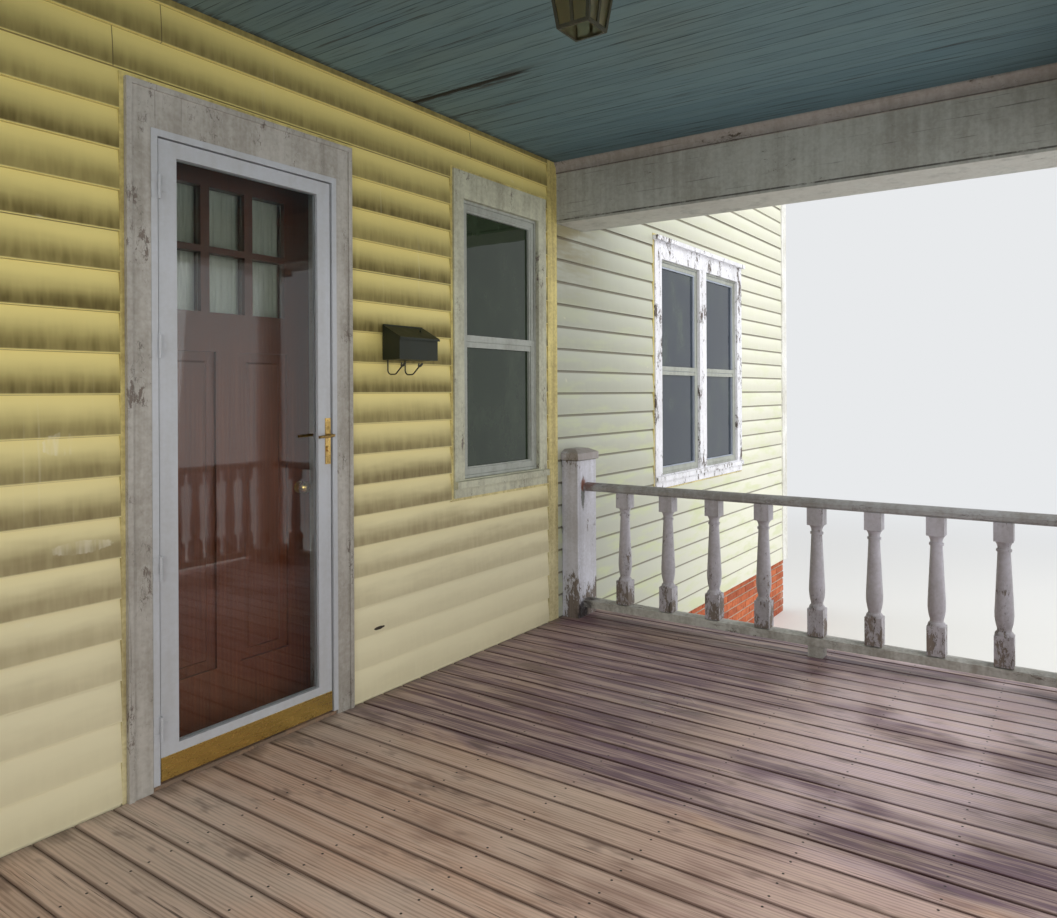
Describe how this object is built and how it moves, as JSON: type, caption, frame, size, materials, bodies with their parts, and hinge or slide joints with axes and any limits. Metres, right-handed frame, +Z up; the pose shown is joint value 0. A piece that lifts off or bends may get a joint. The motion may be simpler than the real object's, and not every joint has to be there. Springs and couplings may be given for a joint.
{
  "type": "front porch with house wall",
  "caption": "Roofed wooden front porch with round columns, turned balusters, steps and a sided house wall holding a storm door, inner door and windows.",
  "frame": {"origin": "ground level on the centreline of the doorway, in the plane of the siding butts", "axes": "+X along the house front to the right of someone facing the door, +Y into the house, +Z up"},
  "size_m": [8.96, 4.282, 4.462],
  "materials": {
    "brick": "rough",
    "wall_board": "matt",
    "siding": "satin",
    "siding_trim": "satin",
    "white_paint": "worn paint",
    "beam_paint": "worn paint",
    "rail_paint": "weathered paint",
    "blue_paint": "worn paint",
    "sill_wood": "worn",
    "door_wood": "varnished",
    "deck_wood": "weathered",
    "frame_wood": "rough sawn",
    "white_metal": "gloss",
    "sash_metal": "satin",
    "black_metal": "satin",
    "brass": "tarnished",
    "brass_strip": "brushed",
    "clear_glass": "clear",
    "window_glass": "dark",
    "lantern_glass": "frosted",
    "curtain": "soft",
    "roofing": "granular"
  },
  "bodies": {
    "root": {"beam_crown": "beam_paint", "bottom_rails": "white_paint", "brick_piers": "brick", "ceiling": "blue_paint", "corner_columns": "white_paint", "deck": "deck_wood", "deck_frame": "frame_wood", "door_casing": "white_paint", "door_frame": "white_paint", "door_sill": "sill_wood", "eaves": "white_paint", "end_balusters_left": "white_paint", "end_balusters_right": "white_paint", "end_beams": "beam_paint", "foundation_wall": "brick", "front_balusters_left": "white_paint", "front_balusters_right": "white_paint", "front_beam": "beam_paint", "front_wall_at_door": "wall_board", "front_wall_end": "wall_board", "front_wall_left": "wall_board", "front_wall_right": "wall_board", "inner_frame_hinges": "brass", "lantern_frame": "black_metal", "lantern_panes": "lantern_glass", "mailbox_box": "black_metal", "mailbox_hooks": "black_metal", "newels": "white_paint", "roof_front": "roofing", "roof_left": "roofing", "roof_right": "roofing", "siding": "siding", "siding_trim": "siding_trim", "step_risers": "white_paint", "step_stringers": "frame_wood", "step_treads": "deck_wood", "storm_frame": "white_metal", "top_rails": "rail_paint", "twin_window_casing": "white_paint", "twin_window_glass": "window_glass", "twin_window_sashes": "sash_metal", "window_casings": "white_paint", "window_glass": "window_glass", "window_sashes": "sash_metal"},
    "storm_door": {"storm_leaf": "white_metal", "storm_glass": "clear_glass", "storm_hinge_leaves": "white_metal", "storm_sweep": "brass_strip", "storm_lock_plates": "brass"},
    "storm_lever": {"storm_lever": "brass"},
    "inner_door": {"inner_leaf": "door_wood", "inner_panes": "clear_glass", "inner_hinge_leaves": "brass", "inner_knobs": "brass", "door_curtain": "curtain", "curtain_rod": "brass"},
    "mailbox_lid": {"mailbox_lid": "black_metal"}
  },
  "joints": [
    {"name": "storm_door_swing", "type": "hinge", "parent": "root", "child": "storm_door", "pos_m": [-0.361, -0.0173, 1.97], "axis": [0, 0, -1], "range_deg": [0, 100]},
    {"name": "storm_lever_turn", "type": "hinge", "parent": "storm_door", "child": "storm_lever", "pos_m": [0.341, 0.01, 2.012], "axis": [0, -1, 0], "range_deg": [0, 35]},
    {"name": "inner_door_swing", "type": "hinge", "parent": "root", "child": "inner_door", "pos_m": [-0.383, 0.2033, 1.99], "axis": [0, 0, 1], "range_deg": [0, 90]},
    {"name": "mailbox_lid_swing", "type": "hinge", "parent": "root", "child": "mailbox_lid", "pos_m": [0.77, -0.0075, 2.4667], "axis": [-1, 0, 0], "range_deg": [0, 105]}
  ]
}
